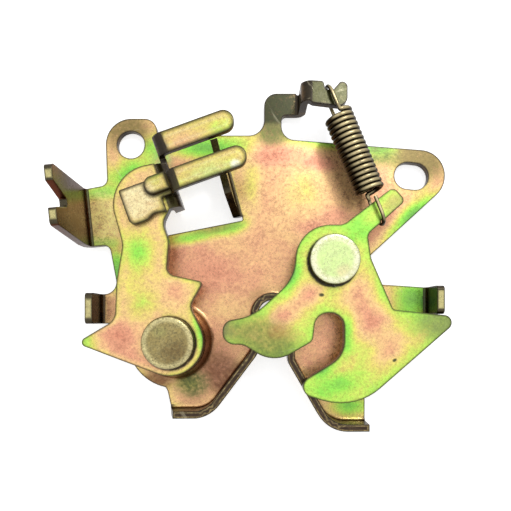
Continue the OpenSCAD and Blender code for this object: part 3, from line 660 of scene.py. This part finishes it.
def return_spring(finish):
    """Coil (r cos a, r sin a, z0 + pitch * a / 360).

    A foot runs out from it along the plate, and a leg stands up from it into the lever.
    """
    foot, leg = np.radians(FOOT_TURN), np.radians(LEG_TURN)
    a = np.linspace(0, RETURN_TURNS * 2 * np.pi, RETURN_STEPS)
    climb = FOOT_Z + RETURN_PITCH * a / (2 * np.pi)
    top = climb[-1]
    coil = np.column_stack([RETURN_R * np.cos(foot + a), RETURN_R * np.sin(foot + a), climb])
    out = np.array([np.cos(foot), np.sin(foot), 0])
    base = np.array([0, 0, FOOT_Z])
    rise = np.array([RETURN_R * np.cos(leg), RETURN_R * np.sin(leg), 0])
    # The leg bends up out of the last turn and stands straight up to LEG_TOP
    legs = rise + np.array([[-0.3, 0, top + 0.7], [0, 0, top + 1.6], [0, 0, LEG_TOP]])
    path = np.concatenate([[out * FOOT_END + base, out * (RETURN_R + 1.2) + base], coil, legs])
    aside = np.tile([0.0, 0.0, 1.0], (len(path), 1))
    aside[-3:] = [[0.5, 0, 0.5], [1, 0, 0], [1, 0, 0]]
    points, faces = tube(path, aside, RETURN_WIRE / 2)
    points = points + LEVER_PIVOT
    made = piece("return_spring", points, faces, finish, None, "spring_steel", WIRE_SOFT)
    low, high = LEVER_PIVOT + [0, 0, FOOT_Z + 0.6], LEVER_PIVOT + [0, 0, top]
    tuple(low * MM)
    tuple(high * MM)
    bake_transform(made)
    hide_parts("pawl_spring")


# Finishes. Every spot is x, y, half length, half width and turn, and then what plating() says.
THROAT = (44, -74, 48, 44, 0)

plate_finish = plating(
    "plate zinc", tone=0.93, film=0.24, wander=0.34, mottle=0.15, rim=0.14, rim_width=4.0,
    sheared=(7.6, (200, 190, 130), (*THROAT, (50, 33, 18)), (66, 12, 16, 9, 0, (62, 62, 24))),
    # painted highlight: glint lines along the sheared tops of the throat flange
    glint_spots=[THROAT],
    walls=[
        # painted shade on the walls of the cable flange, the top of the throat and the boss
        (-17, -24, 9, 20, 0, (84, 36, 14)),
        (42, -50, 8, 8, 0, (70, 34, 18)),
        (14, -63, 18, 18, 0, (150, 112, 76), 0.2),
    ],
    patches=[
        # right ear and top edge
        (91, -22, 15, 5, 42, 0.50), (80, -2, 12, 6, -4, 0.34), (66, 1, 26, 4, -4, 0.30),
        # middle, beside the springs
        (55, -15, 12, 9, 20, 0.15), (44, -3, 10, 6, 0, -0.18), (61, -6, 9, 4, -10, -0.2),
        (65, -23, 8, 5, 0, -0.12), (58, -27, 7, 5, 0, -0.12),
        # under the window, left ear, over the window
        (33, -27, 9, 4, 15, 0.34), (20, -30, 14, 3.5, 11, 0.45),
        (0, -10, 12, 8, 20, 0.62), (7, -1, 6, 8, 0, 0.35), (24, -1, 22, 6, 0, 0.62),
        # ends of the two legs, right stop tab
        (19, -77, 8, 6, 0, 0.30), (70, -84, 9, 6, 0, 0.55), (91, -50, 12, 9, 0, 0.62),
        # strip beside the cable flange
        (-9, -31, 9, 3.5, 0, 0.5), (-9, -16, 10, 4, 0, 0.5), (-4, -40, 5, 12, 5, 0.55),
        (-9, -24, 9, 3, 0, 0.16),
        # right of the window, throat, beside the lever, under the right ear, behind the slot
        (39, -12, 5, 16, 0, 0.2), (40, -60, 6, 12, 0, -0.2), (28, -42, 12, 10, 0, -0.1),
        (83, -29, 7, 4, 42, 0.12), (64, -64, 6, 10, 0, -0.16),
    ],
    stains_and_painted_light=[
        # arm and anchor
        (47, 12, 13, 14, 0, 1.3, (50, 52, 16)), (62, 13, 14, 9, 0, 1.3, (50, 52, 18)),
        # ears
        (-1, 4, 12, 11, 0, 1.0, (142, 122, 70)), (10, -5, 6, 8, 0, 0.6, (118, 190, 98)),
        (93, -4, 15, 12, -20, 1.1, (140, 122, 72)),
        # arm's foot and top edge
        (46, 3, 9, 6, 0, 0.8, (104, 110, 54)), (80, -3, 10, 7, -10, 0.85, (106, 118, 58)),
        # under the window, left leg, and a painted shadow below the lever's round end
        (28, -27, 14, 2.4, 11, 0.7, (118, 128, 60)), (31, -75, 17, 11, -40, 0.95, (122, 78, 50)),
        (20, -77, 9, 8, 0, 0.95, (84, 90, 42)), (8, -76, 13, 6, 20, 0.85, (134, 92, 56)),
        # right stop tab, top edge; painted shade at the top of the throat under the hook and at the boss
        # under the lever's hub
        (88, -50, 10, 7, 0, 0.3, KHAKI), (62, 5, 30, 2.4, -4, 0.7, KHAKI),
        (42, -50, 7, 7, 0, 0.5, SHADE_BROWN), (22, -66, 15, 13, 0, 0.5, SHADE_BROWN),
        # painted light that lifts the shade on the strip beside the cable flange and behind the striker
        # slot
        (-9, -24, 11, 14, 0, 0.95, (255, 238, 150)), (64, -64, 7, 11, 0, 0.6, (252, 196, 146)),
    ],
)
hook_finish = plating(
    "hook zinc", film=0.49, wander=0.32, rim=0.14, rim_width=4.2, line=0.75,
    patches=[
        # wing, right of the pivot, along the tongue, wing's lower edge
        (75, -57, 9, 9, 20, -0.36), (81, -64, 9, 6, 40, -0.26), (71, -49, 7, 8, 0, -0.22),
        (56, -49, 8, 5, 35, -0.34), (49, -55, 8, 5, 35, -0.30), (78, -68, 8, 3, 35, -0.08),
        # rim of the slot and lower lobe
        (68, -60, 2.8, 9, -8, 0.14), (64, -76, 13, 5, 15, 0.26), (60, -71, 5, 4, 0, 0.22),
        # about the pivot, arm, wing's tip
        (51, -43, 4, 7, -30, 0.2), (58, -34, 9, 9, 0, 0.02), (70, -31, 10, 5, 50, 0.22),
        (90, -57, 10, 6, 10, 0.16),
    ],
    stains_and_painted_light=[
        # tongue, wing's tip, arm
        (28, -59, 10, 8, 0, 1.0, (132, 128, 82)), (43, -63, 20, 12, -22, 0.8, (108, 122, 58)),
        (98, -56, 16, 10, 20, 1.0, (136, 154, 82)), (83, -22, 7, 6, 0, 0.75, (176, 166, 98)),
        # rust and two small marks
        (47, -60, 6, 4, 10, 0.55, (180, 122, 74)), (60, -49, 1.2, 0.8, 0, 1.4, (78, 76, 44)),
        (82, -68.6, 1.0, 0.7, 30, 1.4, (78, 80, 44)),
        # painted shadow: a dark ring about the rivet's head
        (63.45, -38.85, 8.5, 8.5, 0, 1.3, (40, 34, 14), 0.14),
    ],
)
pawl_finish = plating(
    "lever zinc", film=0.35, wander=0.28, rim=0.12, rim_width=2.4, line=0.75,
    patches=[
        # waist, ear's tip, right of the rivet
        (5, -36, 7, 9, 0, 0.34), (6, -52, 8, 6, 30, 0.22), (-10, -63, 6, 4, 0, 0.24),
        (24, -60, 4, 9, 0, 0.30),
        # ear and hub, head, tooth, waist
        (-1, -61, 12, 9, 0, -0.24), (6, -69, 14, 6, -10, -0.22), (20, -28, 5, 10, 0, -0.12),
        (16, -48, 6, 6, 0, -0.18), (4, -44, 8, 8, 0, 0.1),
    ],
    stains_and_painted_light=[
        # tooth, head
        (24, -45, 4, 3, 0, 0.5, (140, 150, 70)), (14, -12, 16, 10, 20, 0.35, (206, 176, 128)),
        # painted shadow: a dark ring about the rivet's head
        (14.35, -63.55, 8.9, 8.9, 0, 1.3, (52, 36, 16), 0.14),
    ],
)
fork_finish = plating(
    # a wide painted shade along the edges, with a faint band of painted highlight and wear beside it
    "fork zinc", film=0.42, wander=0.2, rim=0.04, rim_width=1.2, tone=0.86, line=1.4, wear_and_sheen=0.15,
    roll=0.8,
    patches=[
        # fingers
        (19, -6.5, 8, 5, 20, -0.16), (30, -2, 6, 5, 20, 0.14), (28, -14, 12, 5, 20, 0.12),
        # foot
        (5, -21, 9, 8, 20, -0.16), (10, -15.5, 5, 4, 20, 0.12),
    ],
    stains_and_painted_light=[
        # foot, lower finger, and a painted glint at the lower finger's end
        (5, -21, 10, 9, 20, 1.0, (255, 238, 180)), (27, -14, 12, 4.5, 20, 0.5, (220, 228, 160)),
        (34.5, -12, 2.4, 2.4, 20, 0.8, (250, 252, 226)),
        # painted shade on the bend at the fingers' roots
        (13.6, -9, 3.4, 15, 20, 1.2, (44, 33, 20)),
    ],
)
pale_finish = plating(
    "pale rivet", film=0.56, wander=0.4, rim=0.0, line=0.5, grit=0.9, roll=0.8,
    stains_and_painted_light=[
        # pale rim as a painted highlight with wear, greener middle, warm cloud
        (63.7, -38.5, 8, 8, 0, 0.9, (240, 238, 206), 0.1),
        (63.7, -38.5, 6.6, 6.6, 0, 0.9, (206, 230, 150), 0.3),
        (66, -42, 4, 3, 30, 0.6, (232, 206, 166)),
    ],
)
olive_finish = plating(
    "olive rivet", film=0.42, wander=0.25, rim=0.0, tone=0.95, line=0.5, grit=2.0, roll=0.8,
    stains_and_painted_light=[
        # pale rim as a painted highlight with wear, olive middle, brown and green clouds
        (14.2, -63.3, 20, 20, 0, 1.1, (204, 192, 138), 0.1),
        (14.2, -63.3, 7.2, 7.2, 0, 1.0, (150, 134, 82), 0.25),
        (16, -66, 8, 6, 30, 0.6, (94, 70, 36)),
        (12, -60, 4, 3, 0, 0.5, (158, 158, 96)),
    ],
)

# Pieces, with the width of their triangles in mm
dressed("base_plate", "plate", plate_finish, "base", "plate_zinc", 1.2)
dressed("latch_hook", "hook", hook_finish, "hook", "hook_zinc", 0.9)
dressed("pawl_lever", "lever", pawl_finish, "pawl", "pawl_zinc", 0.9)
dressed("release_fork", "fork", fork_finish, "pawl", "fork_zinc", 0.8)
dressed("hook_pivot_rivet", "hook_rivet", pale_finish, "base", "rivet_pale", 0.8)
dressed("pawl_pivot_rivet", "lever_rivet", olive_finish, "base", "rivet_olive", 0.8)
dressed("hook_spacer", "collar", olive_finish, "base", "rivet_olive", 1.0)
wire = wire_finish()
tension_spring(wire)
return_spring(wire)


# Studio, in metres
FLOOR_HALF = 2
FLOOR_Z = -0.0006
FLOOR_GLOW = 0.68
AROUND_LIGHT = 0.42  # strength at which the surroundings light the part; they show at 1
PART_MIDDLE = (0.04, -0.04, 0)


def floor():
    """A pale floor under the part's flat back.

    It looks nearly white and keeps the part's soft shadow.
    """
    f = Finish("floor")
    glow = f.mix(f.seen(), (0, 0, 0, 1), (1, 1, 1, 1))
    finish = f.shade(
        Base_Color=(0.9, 0.9, 0.9, 1), Roughness=0.9, Emission_Color=glow,
        Emission_Strength=FLOOR_GLOW,
    )
    mesh = bpy.data.meshes.new("floor")
    ways = ((-1, -1), (1, -1), (1, 1), (-1, 1))
    corners = [(x * FLOOR_HALF, y * FLOOR_HALF, FLOOR_Z) for x, y in ways]
    mesh.from_pydata(corners, [], [(0, 1, 2, 3)])
    mesh.materials.append(finish)
    made = bpy.data.objects.new("floor", mesh)
    bpy.context.scene.collection.objects.link(made)


def world():
    """Even white surroundings, which light the part less than they show."""
    f = Finish("studio", "worlds", "Background")
    strength = AROUND_LIGHT + f.seen() * (1 - AROUND_LIGHT)
    bpy.context.scene.world = f.shade(Color=(1, 1, 1, 1), Strength=strength)


def lamp(name, place, side, power):
    """A square lamp at place, side metres wide, that faces the part's middle."""
    light = bpy.data.lights.new(name, "AREA")
    light.size = side
    light.energy = power
    made = bpy.data.objects.new(name, light)
    bpy.context.scene.collection.objects.link(made)
    made.location = place
    aim = Vector(PART_MIDDLE) - Vector(place)
    made.rotation_euler = aim.to_track_quat("-Z", "Y").to_euler()


def camera():
    """The photograph's viewpoint: straight down from 147 mm above the plate's back face."""
    lens = bpy.data.cameras.new("camera")
    lens.lens = 31.7
    lens.sensor_width = 36
    lens.shift_y = 0.126
    lens.clip_start = 0.01
    made = bpy.data.objects.new("camera", lens)
    bpy.context.scene.collection.objects.link(made)
    made.location = (0.0402, -0.0565, 0.1474)
    bpy.context.scene.camera = made


floor()
world()
lamp("ceiling", (0.04, 0.15, 1.0), 1.4, 2.3)
lamp("window light", (0.2, 0.3, 0.5), 0.12, 1.15)
camera()
bpy.context.scene.view_settings.view_transform = "Standard"
